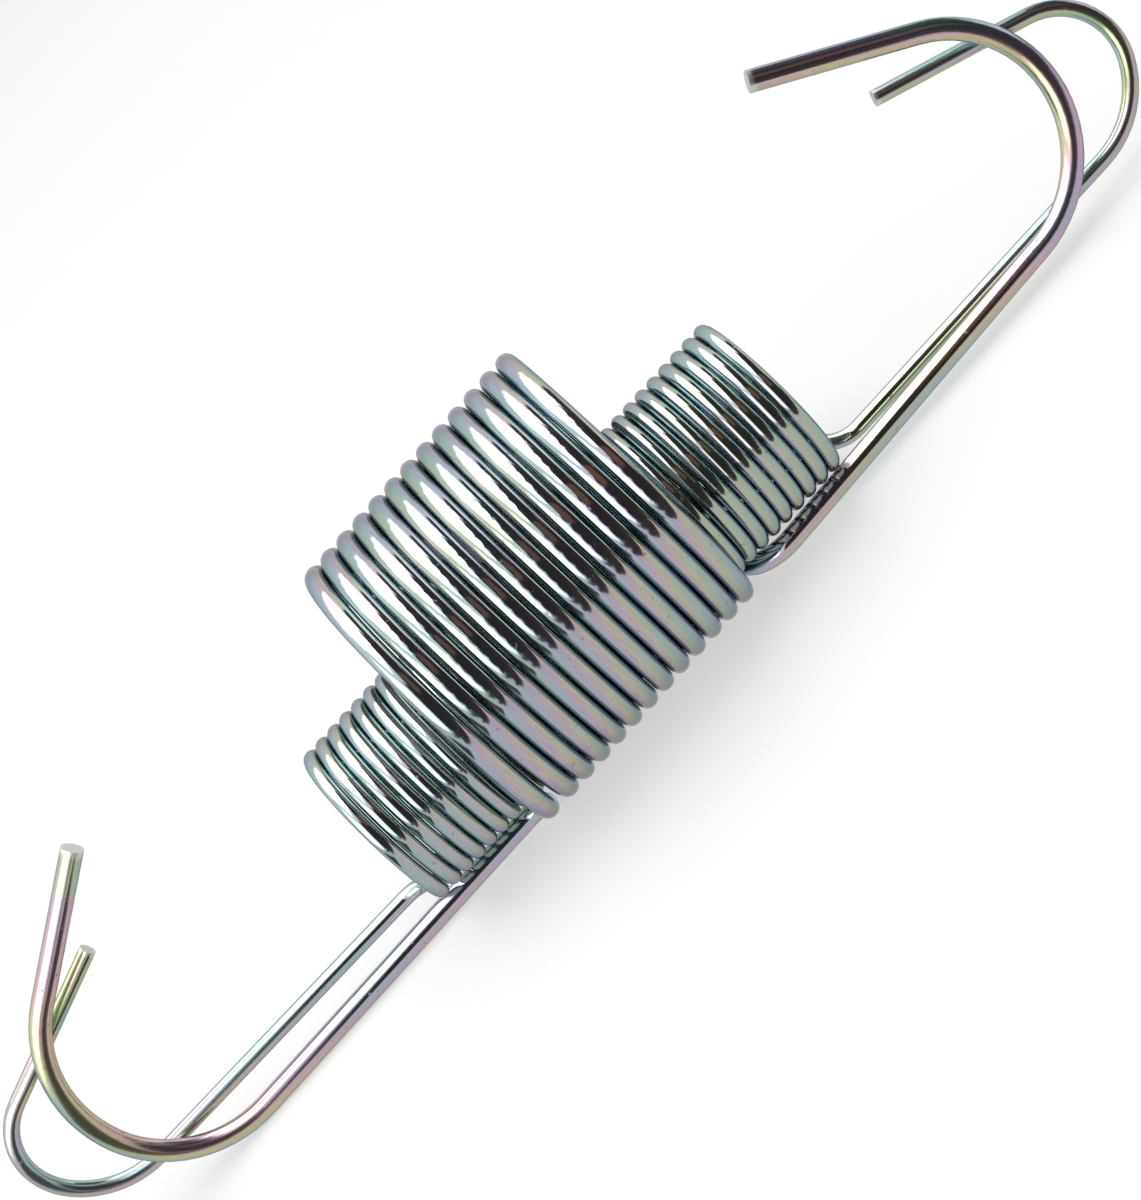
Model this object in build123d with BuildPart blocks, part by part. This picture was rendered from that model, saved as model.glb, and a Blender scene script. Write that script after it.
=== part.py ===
"""A nested pair of close-wound extension springs with long open hooks.

A heavy outer spring of 13 turns holds a lighter inner spring of 34 turns.  Both are wound
left-handed.  At each end of each spring the wire turns out of the last coil, runs on as a
straight leg along the underside and closes into an open hook above it.

Frame: +X along the springs, +Z up, the legs underneath.  The origin lies on the ground
under the middle of the pair.  Millimetres and degrees.
"""

from build123d import *
from dataclasses import dataclass
from math import cos, radians, sin, tan
import os


@dataclass
class HookedEnd:
    """The wire of one end, from the evenly wound coil to the cut."""

    leaves_at: float  # where the coil ends, from its bottom towards the far side
    opened: float  # how far the end of the coil is pulled away from its neighbour
    opened_over: float  # the part of a turn that is pulled open
    bend: float  # radius from the coil into the leg
    leg: float  # straight length
    lean: float  # rise of the leg, outwards
    skew: float  # drift of the leg towards the far side, outwards
    tilt: float  # of the hook's plane from upright, towards the far side
    leg_hook: float  # radius of the hook beside the leg
    leg_hook_sweep: float
    tip_hook: float  # radius of the hook beside the tip
    tip_hook_sweep: float
    tip: float  # straight length up to the cut


@dataclass
class HookedSpring:
    """A left-hand coil about the X axis with a hooked end to each side."""

    wire: float
    radius: float  # of the coil, to the wire's centre line
    pitch: float
    turns: int
    left: HookedEnd
    right: HookedEnd


# ---- driving dimensions -----------------------------------------------------------------
outer = HookedSpring(
    wire=1.20, radius=8.40, pitch=1.222, turns=13,
    right=HookedEnd(
        leaves_at=13.3, opened=0.11, opened_over=0.33, bend=2.69,
        leg=19.6, lean=2.0, skew=-1.6, tilt=3.3,
        leg_hook=6.81, leg_hook_sweep=82.8, tip_hook=6.45, tip_hook_sweep=63.5, tip=9.05,
    ),
    left=HookedEnd(
        leaves_at=-5.0, opened=0.32, opened_over=0.51, bend=1.42,
        leg=20.6, lean=0.1, skew=0.6, tilt=-11.8,
        leg_hook=6.16, leg_hook_sweep=80.2, tip_hook=8.15, tip_hook_sweep=68.8, tip=8.52,
    ),
)
inner = HookedSpring(
    wire=0.88, radius=4.72, pitch=0.901, turns=34,
    right=HookedEnd(
        leaves_at=12.7, opened=0.00, opened_over=0.25, bend=1.92,
        leg=18.7, lean=2.2, skew=-3.1, tilt=22.8,
        leg_hook=5.18, leg_hook_sweep=61.6, tip_hook=3.74, tip_hook_sweep=98.6, tip=8.96,
    ),
    left=HookedEnd(
        leaves_at=-11.9, opened=0.16, opened_over=0.16, bend=1.99,
        leg=18.9, lean=0.1, skew=1.9, tilt=6.6,
        leg_hook=4.85, leg_hook_sweep=59.6, tip_hook=3.97, tip_hook_sweep=100.8, tip=9.20,
    ),
)
inner_in_outer = Location((0.33, -0.62, -2.47), (18.8, 1.2, 0.8))  # it lies low in the bore
resting_roll = -12.9  # as the pair comes to rest, on the left leg and the coil's right end

opening_arcs = 3  # arcs that draw the opened stretch of the coil's end


# ---- the wire's centre line -------------------------------------------------------------
def on_coil(x, radius, angle):
    """A point of a coil, at an angle from its bottom towards the far side."""
    return Vector(x, radius * sin(radians(angle)), -radius * cos(radians(angle)))


def square_to(direction, tangent):
    """The unit part of a direction that is square to a tangent."""
    return (direction - tangent * direction.dot(tangent)).normalized()


def arc_towards(start, tangent, towards, radius, sweep):
    """An arc that leaves along a tangent and curves towards a direction square to it."""
    along = sin(radians(sweep))
    aside = 1 - cos(radians(sweep))
    return TangentArc(start, start + (tangent * along + towards * aside) * radius, tangent=tangent)


def coil_turns(spring):
    """Turns from one end of the coil to the other, with the parts of a turn."""
    return spring.turns + (spring.left.leaves_at - spring.right.leaves_at) / 360


def even_coil(spring):
    """The evenly wound stretch, from left to right."""
    turns = coil_turns(spring) - spring.left.opened_over - spring.right.opened_over
    left_end = spring.pitch * (spring.left.opened_over - coil_turns(spring) / 2)
    winding = Helix(
        spring.pitch, spring.pitch * turns, spring.radius, center=(left_end, 0, 0),
        direction=(1, 0, 0), lefthand=True, mode=Mode.PRIVATE,
    )
    top_to_left_end = spring.left.leaves_at - 360 * spring.left.opened_over - 180
    return winding.rotate(Axis.X, top_to_left_end)


def hooked_end(spring, end, side, start, tangent):
    """The opened end of the coil, the bend, the leg, the hook and the tip, outwards."""
    edges = []
    for step in range(1, opening_arcs + 1):
        way = step / opening_arcs
        angle = end.leaves_at + side * 360 * end.opened_over * (1 - way)
        even_x = spring.pitch * (coil_turns(spring) / 2 - end.opened_over * (1 - way))
        point = on_coil(side * (even_x + end.opened * way**2), spring.radius, angle)
        opening = TangentArc(start, point, tangent=tangent)
        edges.append(opening)
        start, tangent = opening @ 1, opening % 1

    leg_way = Vector(side, tan(radians(end.skew)), tan(radians(end.lean))).normalized()
    turning = tangent.get_angle(leg_way)
    bend = arc_towards(start, tangent, square_to(leg_way, tangent), end.bend, turning)
    edges.append(bend)
    start = bend @ 1

    leg = Line(start, start + leg_way * end.leg)
    edges.append(leg)

    upright = square_to(Vector(0, sin(radians(end.tilt)), cos(radians(end.tilt))), leg_way)
    hook_normal = leg_way.cross(upright)
    hook = arc_towards(leg @ 1, leg_way, upright, end.leg_hook, end.leg_hook_sweep)
    edges.append(hook)
    start, tangent = hook @ 1, hook % 1
    inside = hook_normal.cross(tangent)
    hook = arc_towards(start, tangent, inside, end.tip_hook, end.tip_hook_sweep)
    edges.append(hook)
    start, tangent = hook @ 1, hook % 1

    edges.append(Line(start, start + tangent * end.tip))
    return edges


def round_wire(diameter, path, along_helix=False):
    """Wire of a round section along a path, added to the part that is being built."""
    with BuildSketch(Plane(origin=path @ 0, z_dir=path % 0)) as section:
        Circle(diameter / 2)
    sweep(section.sketch, path=path, is_frenet=along_helix)


def wind(spring):
    """The whole spring, added to the part that is being built."""
    coil = even_coil(spring)
    with BuildLine() as left_end:
        hooked_end(spring, spring.left, -1, coil @ 0, -(coil % 0))
    with BuildLine() as right_end:
        hooked_end(spring, spring.right, 1, coil @ 1, coil % 1)
    round_wire(spring.wire, coil, along_helix=True)
    round_wire(spring.wire, left_end.wires()[0])
    round_wire(spring.wire, right_end.wires()[0])


# ---- the parts --------------------------------------------------------------------------
with BuildPart() as outer_spring:
    wind(outer)

with BuildPart() as inner_spring:
    wind(inner)

resting = Rot(resting_roll, 0, 0)
outer_spring.part = resting * outer_spring.part
inner_spring.part = resting * inner_in_outer * inner_spring.part

pair_box = Compound([outer_spring.part, inner_spring.part]).bounding_box()
to_ground = Pos(-pair_box.center().X, -pair_box.center().Y, -pair_box.min.Z)
outer_spring.part = to_ground * outer_spring.part
inner_spring.part = to_ground * inner_spring.part

outer_spring.part.label = "outer_spring"
inner_spring.part.label = "inner_spring"

os.makedirs("parts", exist_ok=True)
export_step(outer_spring.part, "parts/outer_spring.step")
export_step(inner_spring.part, "parts/inner_spring.step")
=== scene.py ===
"""A nested pair of zinc-plated extension springs, lying on a pale floor."""

from dataclasses import dataclass
from math import cos, pi, radians, sin

import bpy
from mathutils import Euler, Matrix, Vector

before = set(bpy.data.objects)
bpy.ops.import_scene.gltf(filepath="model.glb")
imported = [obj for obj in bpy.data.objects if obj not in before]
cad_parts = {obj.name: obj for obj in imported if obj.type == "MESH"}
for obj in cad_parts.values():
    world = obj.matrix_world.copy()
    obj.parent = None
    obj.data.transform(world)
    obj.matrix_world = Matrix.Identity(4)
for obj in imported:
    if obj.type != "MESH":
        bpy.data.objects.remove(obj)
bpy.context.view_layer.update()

MM = 0.001
WHITE = (1.0, 1.0, 1.0, 1.0)
BLACK = (0.0, 0.0, 0.0, 1.0)

bpy.ops.object.select_all(action="DESELECT")


# ---- camera -----------------------------------------------------------------------------
CAMERA_PLACE = Vector((2.890, -116.415, 64.609)) * MM
CAMERA_TURN = Euler((radians(53.006), radians(42.228), radians(-25.601)))
FOCAL_LENGTH = 74.918
SENSOR_WIDTH = 36
NEAR_CLIP, FAR_CLIP = 0.01, 10


def add_camera():
    data = bpy.data.cameras.new("camera")
    data.sensor_width = SENSOR_WIDTH
    data.lens = FOCAL_LENGTH
    data.clip_start = NEAR_CLIP
    data.clip_end = FAR_CLIP
    camera = bpy.data.objects.new("camera", data)
    camera.location = CAMERA_PLACE
    camera.rotation_euler = CAMERA_TURN
    bpy.context.scene.collection.objects.link(camera)
    bpy.context.scene.camera = camera


add_camera()


# ---- nodes ------------------------------------------------------------------------------
class Nodes:
    """The node tree of a material or world, with short ways to add to it."""

    def __init__(self, owner):
        owner.use_nodes = True
        self.tree = owner.node_tree

    def add(self, kind, **settings):
        node = self.tree.nodes.new("ShaderNode" + kind)
        for name, value in settings.items():
            setattr(node, name, value)
        return node

    def link(self, value, socket):
        """A socket is joined to the value's socket, or set to the value."""
        if isinstance(value, bpy.types.NodeSocket):
            self.tree.links.new(value, socket)
        else:
            socket.default_value = value

    def math(self, operation, *values):
        node = self.add("Math", operation=operation)
        for value, socket in zip(values, node.inputs):
            self.link(value, socket)
        return node.outputs[0]

    def vector(self, operation, *values):
        node = self.add("VectorMath", operation=operation)
        for value, socket in zip(values, node.inputs):
            self.link(value, socket)
        gives_a_number = operation in ("DOT_PRODUCT", "DISTANCE")
        return node.outputs["Value" if gives_a_number else "Vector"]

    def scaled(self, vector, factor):
        node = self.add("VectorMath", operation="SCALE")
        self.link(vector, node.inputs[0])
        node.inputs["Scale"].default_value = factor
        return node.outputs[0]

    def noise(self, vector, scale, detail):
        node = self.add("TexNoise")
        self.link(vector, node.inputs["Vector"])
        node.inputs["Scale"].default_value = scale
        node.inputs["Detail"].default_value = detail
        return node.outputs["Fac"]

    def ramp(self, value, stops):
        node = self.add("ValToRGB")
        self.link(value, node.inputs[0])
        elements = node.color_ramp.elements
        while len(elements) < len(stops):
            elements.new(0.5)
        for element, (position, colour) in zip(elements, stops):
            element.position = position
            element.color = (*colour, 1)
        return node.outputs[0]

    def grade(self, value, from_low, from_high, to_low=0.0, to_high=1.0):
        node = self.add("MapRange")
        for socket, number in zip(node.inputs, (value, from_low, from_high, to_low, to_high)):
            self.link(number, socket)
        return node.outputs[0]

    def mix(self, factor, first, second):
        node = self.add("Mix", data_type="RGBA")
        self.link(factor, node.inputs["Factor"])
        for value, name in ((first, "A_Color"), (second, "B_Color")):
            socket = next(s for s in node.inputs if s.identifier == name)
            self.link(value, socket)
        return next(s for s in node.outputs if s.identifier == "Result_Color")

    def near(self, place, point, full_within, none_beyond):
        """1 within a distance of a point given in millimetres, and 0 beyond another."""
        distance = self.vector("DISTANCE", place, tuple(part * MM for part in point))
        return self.grade(distance, none_beyond * MM, full_within * MM)


# ---- the plated wire --------------------------------------------------------------------
@dataclass
class Plating:
    """The finish of one spring's wire, with lengths in millimetres."""

    name: str
    film: tuple  # the film's colours, once round as it thickens
    left_gain: float  # how much thicker the film is on the left hook
    right_gain: float  # on the right hook
    dip_gain: float  # and on the left tip, which was dipped again
    dip_length: float
    cut_ends: tuple  # the middles of the cut faces, the left one first
    wire: float


ALONG = (1, 0, 0)  # the springs' length
HOOK_FROM, HOOK_BY = 14 * MM, 24 * MM  # where the coils end and the hooks begin
BOW_FROM, BOW_BY = 20 * MM, 33 * MM  # where the legs end and the bows begin

LINE_ACROSS, LINE_ALONG = 6, 120  # how fine the drawing lines are round and along the wire
FINE_ACROSS, FINE_ALONG = 22, 200
LINE_DETAIL, FINE_DETAIL = 4, 2
DRIFT_SCALE = 75
SPECK_SCALE = 2600
SOFT_DETAIL = 1  # of the drift and the specks
NOISE_LOW, NOISE_HIGH = 0.3, 0.7  # nearly all of a noise lies between

FILM_ROUND = (0.46, 0.10, -0.26)  # how the film thickens with the way the wire faces
FILM_ROUND_BOWS = (-0.80, 0.10, 0.0)  # and what the bows add
FILM_DRIFT = (0.22, 0.88)
FILM_STREAK = 0.12
DIP_EDGE = 0.15  # half the width of the dipped tip's edge
WARMTH = 0.18  # of the film on the hooks
BOW_DEPTH = 0.8  # how far the bows' colours are deepened
DEEPENED = 1.75
FLANK_FROM, FLANK_BY = 0.60, 0.92  # how squarely a flank faces the next turn
# how much of the painted shade goes onto the flanks
FLANK_SHADE_SHARE = 0.8
SHADED_BELOW, CLEAR_ABOVE = 0.35, 0.65  # of the drawing lines
LINE_SHADE = 0.10
SPECK_FROM, SPECK_BY = 0.70, 0.76  # only the peaks of the noise are specks
SPECK_SHARE = 0.35
CUT_WITHIN, CUT_BEYOND = 0.50, 0.62  # how far a cut face goes from its middle, in wires

EVEN_ROUGHNESS = (0.07, 0.13)
BOW_ROUGHNESS = 0.12  # added on the bows
SPECK_ROUGHNESS = 0.4
BARE_ROUGHNESS = 0.4
BUMP_STRENGTH = 0.012
BUMP_DEPTH = 0.02 * MM

WARM_FILM = (0.68, 0.58, 0.49, 1)
# painted shade for the flanks between the turns, darker and bluer
PAINTED_FLANK_SHADE = (0.40, 0.50, 0.57, 1)
DULL_SPECK = (0.16, 0.15, 0.14, 1)
BARE_STEEL = (0.80, 0.80, 0.73, 1)
EDGE_TINT = (0.52, 0.53, 0.56, 1)


def plated_wire(plating):
    """Drawn spring wire under bright zinc and a thin film whose colour turns round the wire."""
    material = bpy.data.materials.new(plating.name)
    nodes = Nodes(material)
    shader = nodes.tree.nodes["Principled BSDF"]
    place = nodes.add("TexCoord").outputs["Object"]
    facing = nodes.add("TexCoord").outputs["Normal"]

    sideways = nodes.vector("DOT_PRODUCT", place, ALONG)
    left_hook = nodes.grade(sideways, -HOOK_FROM, -HOOK_BY)
    right_hook = nodes.grade(sideways, HOOK_FROM, HOOK_BY)
    hook = nodes.math("MAXIMUM", left_hook, right_hook)
    bow = nodes.grade(nodes.math("ABSOLUTE", sideways), BOW_FROM, BOW_BY)

    # drawing lines: short across the wire, long along it
    drawn = nodes.vector("ADD", nodes.scaled(facing, LINE_ACROSS), nodes.scaled(place, LINE_ALONG))
    lines = nodes.noise(drawn, 1, LINE_DETAIL)
    finely = nodes.vector("ADD", nodes.scaled(facing, FINE_ACROSS), nodes.scaled(place, FINE_ALONG))
    fine_lines = nodes.noise(finely, 1, FINE_DETAIL)

    # the film: its thickness turns round the wire, drifts along it and follows the lines
    turned = nodes.vector("DOT_PRODUCT", facing, FILM_ROUND)
    turned_back = nodes.vector("DOT_PRODUCT", facing, FILM_ROUND_BOWS)
    turned_back = nodes.math("MULTIPLY", turned_back, nodes.math("MAXIMUM", bow, left_hook))
    drift = nodes.noise(place, DRIFT_SCALE, SOFT_DETAIL)
    drift = nodes.grade(drift, NOISE_LOW, NOISE_HIGH, *FILM_DRIFT)
    streaks = nodes.grade(lines, NOISE_LOW, NOISE_HIGH, -FILM_STREAK, FILM_STREAK)
    dip_fades = plating.dip_length - DIP_EDGE
    dip_ends = plating.dip_length + DIP_EDGE
    dipped = nodes.near(place, plating.cut_ends[0], dip_fades, dip_ends)
    thickness = nodes.math("ADD", turned, turned_back)
    thickness = nodes.math("ADD", thickness, drift)
    thickness = nodes.math("ADD", thickness, streaks)
    gains = (
        (left_hook, plating.left_gain),
        (right_hook, plating.right_gain),
        (dipped, plating.dip_gain),
    )
    for where, gain in gains:
        thickness = nodes.math("ADD", thickness, nodes.math("MULTIPLY", where, gain))
    colour = nodes.ramp(nodes.math("FRACT", thickness), plating.film)

    # the hooks are warmer, and their bows deeper in colour
    colour = nodes.mix(nodes.math("MULTIPLY", hook, WARMTH), colour, WARM_FILM)
    deeper = nodes.scaled(nodes.vector("MULTIPLY", colour, colour), DEEPENED)
    colour = nodes.mix(nodes.math("MULTIPLY", bow, BOW_DEPTH), colour, deeper)

    # painted shade: the flanks, where each turn lies against the next, are made darker and bluer
    flank_shade = nodes.math("ABSOLUTE", nodes.vector("DOT_PRODUCT", facing, ALONG))
    flank_shade = nodes.grade(flank_shade, FLANK_FROM, FLANK_BY)
    flank_shade = nodes.math("MULTIPLY", flank_shade, nodes.math("SUBTRACT", 1, hook))
    colour = nodes.mix(nodes.math("MULTIPLY", flank_shade, FLANK_SHADE_SHARE), colour, PAINTED_FLANK_SHADE)

    shade = nodes.grade(lines, SHADED_BELOW, CLEAR_ABOVE, LINE_SHADE, 0)
    colour = nodes.mix(shade, colour, BLACK)

    # scattered pits and dull specks
    specks = nodes.noise(place, SPECK_SCALE, SOFT_DETAIL)
    specks = nodes.grade(specks, SPECK_FROM, SPECK_BY)
    colour = nodes.mix(nodes.math("MULTIPLY", specks, SPECK_SHARE), colour, DULL_SPECK)

    # the cut faces, where the steel is bare
    within = CUT_WITHIN * plating.wire
    beyond = CUT_BEYOND * plating.wire
    left_cut, right_cut = plating.cut_ends
    left_bare = nodes.near(place, left_cut, within, beyond)
    right_bare = nodes.near(place, right_cut, within, beyond)
    bare = nodes.math("MAXIMUM", left_bare, right_bare)
    colour = nodes.mix(bare, colour, BARE_STEEL)

    roughness = nodes.grade(fine_lines, NOISE_LOW, NOISE_HIGH, *EVEN_ROUGHNESS)
    roughness = nodes.math("ADD", roughness, nodes.math("MULTIPLY", bow, BOW_ROUGHNESS))
    for where, least in ((specks, SPECK_ROUGHNESS), (bare, BARE_ROUGHNESS)):
        roughness = nodes.math("MAXIMUM", roughness, nodes.math("MULTIPLY", where, least))

    bump = nodes.add("Bump")
    bump.inputs["Strength"].default_value = BUMP_STRENGTH
    bump.inputs["Distance"].default_value = BUMP_DEPTH
    nodes.link(fine_lines, bump.inputs["Height"])

    nodes.link(colour, shader.inputs["Base Color"])
    nodes.link(roughness, shader.inputs["Roughness"])
    nodes.link(bump.outputs[0], shader.inputs["Normal"])
    shader.inputs["Metallic"].default_value = 1
    shader.inputs["Specular Tint"].default_value = EDGE_TINT
    return material


outer_plating = Plating(
    name="bright zinc",
    film=(
        (0.00, (0.46, 0.60, 0.57)),
        (0.15, (0.50, 0.58, 0.66)),
        (0.30, (0.57, 0.53, 0.66)),
        (0.44, (0.66, 0.52, 0.59)),
        (0.58, (0.65, 0.58, 0.48)),
        (0.72, (0.60, 0.62, 0.46)),
        (0.86, (0.50, 0.61, 0.51)),
        (1.00, (0.46, 0.60, 0.57)),
    ),
    left_gain=0.06,
    right_gain=0.10,
    dip_gain=0.45,
    dip_length=2.5,
    cut_ends=((-25.366, -0.776, 18.473), (25.889, 1.947, 17.809)),
    wire=1.2,
)
inner_plating = Plating(
    name="pale zinc",
    film=(
        (0.00, (0.44, 0.60, 0.57)),
        (0.18, (0.48, 0.60, 0.62)),
        (0.32, (0.54, 0.56, 0.62)),
        (0.44, (0.60, 0.55, 0.58)),
        (0.56, (0.60, 0.60, 0.49)),
        (0.70, (0.56, 0.63, 0.44)),
        (0.86, (0.47, 0.61, 0.50)),
        (1.00, (0.44, 0.60, 0.57)),
    ),
    left_gain=-0.18,
    right_gain=-0.05,
    dip_gain=0.45,
    dip_length=4.6,
    cut_ends=((-29.373, 0.204, 13.753), (29.947, 1.516, 12.176)),
    wire=0.88,
)


def dress(node, plating):
    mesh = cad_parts[node].data
    mesh.materials.clear()
    mesh.materials.append(plated_wire(plating))


dress("outer_spring", outer_plating)
dress("inner_spring", inner_plating)


# ---- floor ------------------------------------------------------------------------------
FLOOR_SIZE = 4
FLOOR_WHITE = (0.95, 0.95, 0.945)
FLOOR_GLOW = 0.5
MATT_ROUGHNESS = 0.9
MATT_GLOSS = 0.1


def matt(name, colour):
    material = bpy.data.materials.new(name)
    material.use_nodes = True
    shader = material.node_tree.nodes["Principled BSDF"]
    shader.inputs["Base Color"].default_value = (*colour, 1)
    shader.inputs["Roughness"].default_value = MATT_ROUGHNESS
    shader.inputs["Specular IOR Level"].default_value = MATT_GLOSS
    return material


def seen_directly(nodes):
    """1 for what the camera sees, itself or by gloss, and 0 for what only lights."""
    rays = nodes.add("LightPath").outputs
    seen = nodes.math("MAXIMUM", rays["Is Camera Ray"], rays["Is Glossy Ray"])
    return nodes.math("MAXIMUM", seen, rays["Is Transmission Ray"])


def pale_floor():
    """A matt white floor, half of it lit from below, so that its shadows stay light."""
    material = matt("pale floor", FLOOR_WHITE)
    nodes = Nodes(material)
    glow = nodes.add("Emission")
    half = nodes.add("MixShader")
    nodes.link(nodes.math("MULTIPLY", seen_directly(nodes), FLOOR_GLOW), half.inputs[0])
    nodes.link(nodes.tree.nodes["Principled BSDF"].outputs[0], half.inputs[1])
    nodes.link(glow.outputs[0], half.inputs[2])
    nodes.link(half.outputs[0], nodes.tree.nodes["Material Output"].inputs["Surface"])
    return material


def add_floor():
    bpy.ops.mesh.primitive_plane_add(size=FLOOR_SIZE)
    floor = bpy.context.object
    floor.name = "floor"
    floor.data.materials.append(pale_floor())


add_floor()


# ---- what the bright wire mirrors -------------------------------------------------------
FLAT = Euler((0, 0, 0))
FACING_FRONT = Euler((radians(90), 0, 0))
FACING_SIDE = Euler((radians(90), 0, radians(90)))
DARK = (0.030, 0.029, 0.030)
BROWN = (0.18, 0.105, 0.075)
DARK_TABLE = (0.035, 0.035, 0.035)


def add_card(name, centre, turn, width, height, colour, lit=False):
    """A card that only the springs' gloss sees, of an even colour or lit by the lamps."""
    bpy.ops.mesh.primitive_plane_add(size=1)
    card = bpy.context.object
    card.name = name
    card.scale = (width, height, 1)
    card.rotation_euler = turn
    card.location = centre
    material = matt(name, colour if lit else BLACK[:3])
    if not lit:
        shader = material.node_tree.nodes["Principled BSDF"]
        shader.inputs["Emission Color"].default_value = (*colour, 1)
        shader.inputs["Emission Strength"].default_value = 1
    card.data.materials.append(material)
    card.visible_camera = False
    card.visible_diffuse = False
    card.visible_transmission = False
    card.visible_shadow = False


# the room behind the camera, with places given across and up from the camera
MIDDLE = Vector((0, 0, 8)) * MM  # of the springs
ACROSS = Vector((0.9998, 0.0219, 0))
UPWARD = Vector((-0.0098, 0.4457, 0.8952))
VIEW_TURN = Euler((radians(63.53), 0, radians(1.25)))
ROOM_DISTANCE = 4  # how many times farther than the camera the room's wall stands
SHELF_DISTANCE = 0.98


def add_in_view(name, right, up, width, height, colour, lean=0.0, distance=1.0):
    """A card square to the view, moved off from the springs with its seen size unchanged."""
    centre = CAMERA_PLACE + ACROSS * right + UPWARD * up
    turn = (VIEW_TURN.to_matrix() @ Euler((0, 0, -lean)).to_matrix()).to_euler()
    place = MIDDLE + (centre - MIDDLE) * distance
    add_card(name, place, turn, width * distance, height * distance, colour)


def add_behind_edge(name, foot, lean, start, length, width, colour, distance=1.0):
    """A card to the right of a slanting edge that passes through a foot point."""
    along = Vector((sin(lean), cos(lean))) * (start + length / 2)
    aside = Vector((cos(lean), -sin(lean))) * width / 2
    centre = Vector(foot) + along + aside
    add_in_view(name, centre.x, centre.y, width, length, colour, lean, distance)


add_behind_edge("tent flap", (0.020, 0.070), radians(30.6), -0.10, 0.43, 0.60, DARK)
add_behind_edge("dark room", (-0.056, -0.020), radians(20), -0.16, 0.23, 1.50, DARK, ROOM_DISTANCE)
add_in_view("brown shelf", 0.090, 0.034, 0.125, 0.046, BROWN, distance=SHELF_DISTANCE)
add_card("side of the room", (0.50, 0.12, 0.40), FACING_SIDE, 0.55, 0.44, (0.05, 0.055, 0.06))
add_card("back cloth", (0.0, 0.45, 0.14), FACING_FRONT, 1.3, 0.60, (0.86, 0.90, 0.89))

# the mats and the table, one just over the other
add_card("grey mat", (0, -0.20, 0.2 * MM), FLAT, 2.0, 0.60, (0.68, 0.67, 0.69))
add_card("right mat", (0.56, -0.30, 0.3 * MM), FLAT, 1.0, 0.56, (0.40, 0.40, 0.39), lit=True)
add_card("table beyond the mat", (0.40, -0.60, 0.4 * MM), FLAT, 1.0, 1.04, DARK_TABLE)
add_card("front mat", (-0.0435, -0.021, 0.6 * MM), FLAT, 0.033, 0.024, (0.045, 0.045, 0.042))

TABLE_TURN = radians(19)
TABLE_LENGTH, TABLE_DEPTH = 1.0, 0.6
TABLE_CORNER = Vector((-0.025, -0.050, 0.5 * MM))


def add_table_beside():
    """The bare table in front of a slanting edge of the mat."""
    edge = Vector((cos(TABLE_TURN), sin(TABLE_TURN), 0)) * TABLE_LENGTH / 2
    depth = Vector((sin(TABLE_TURN), -cos(TABLE_TURN), 0)) * TABLE_DEPTH / 2
    centre = TABLE_CORNER + edge + depth
    turn = Euler((0, 0, TABLE_TURN))
    add_card("table beside the mat", centre, turn, TABLE_LENGTH, TABLE_DEPTH, DARK_TABLE)


add_table_beside()


# ---- light ------------------------------------------------------------------------------
WORLD_GREY = (0.25, 0.25, 0.25, 1)


def add_lamp(name, centre, aim, width, height, radiance):
    """A soft box that faces a point."""
    data = bpy.data.lights.new(name, "AREA")
    data.shape = "RECTANGLE"
    data.size = width
    data.size_y = height
    data.energy = radiance * pi * width * height
    lamp = bpy.data.objects.new(name, data)
    lamp.location = centre
    lamp.rotation_euler = (Vector(centre) - Vector(aim)).to_track_quat("Z", "Y").to_euler()
    bpy.context.scene.collection.objects.link(lamp)
    return lamp


def add_world():
    """White to the eye and in the gloss, and grey as a light."""
    world = bpy.data.worlds.new("studio")
    nodes = Nodes(world)
    background = nodes.tree.nodes["Background"]
    nodes.link(nodes.mix(seen_directly(nodes), WORLD_GREY, WHITE), background.inputs["Color"])
    bpy.context.scene.world = world


add_lamp("overhead lamp", (-0.02, 0.05, 0.42), (0, 0, 0), 0.62, 0.62, 1.8)
add_lamp("left lamp", (-0.36, -0.20, 0.14), (0, 0, 0.02), 0.42, 0.34, 1.45)
fill = add_lamp("front fill", (0.10, -0.50, 0.35), (0, 0, 0), 0.50, 0.50, 0.5)
fill.visible_glossy = False
add_world()

bpy.context.scene.view_settings.view_transform = "Standard"
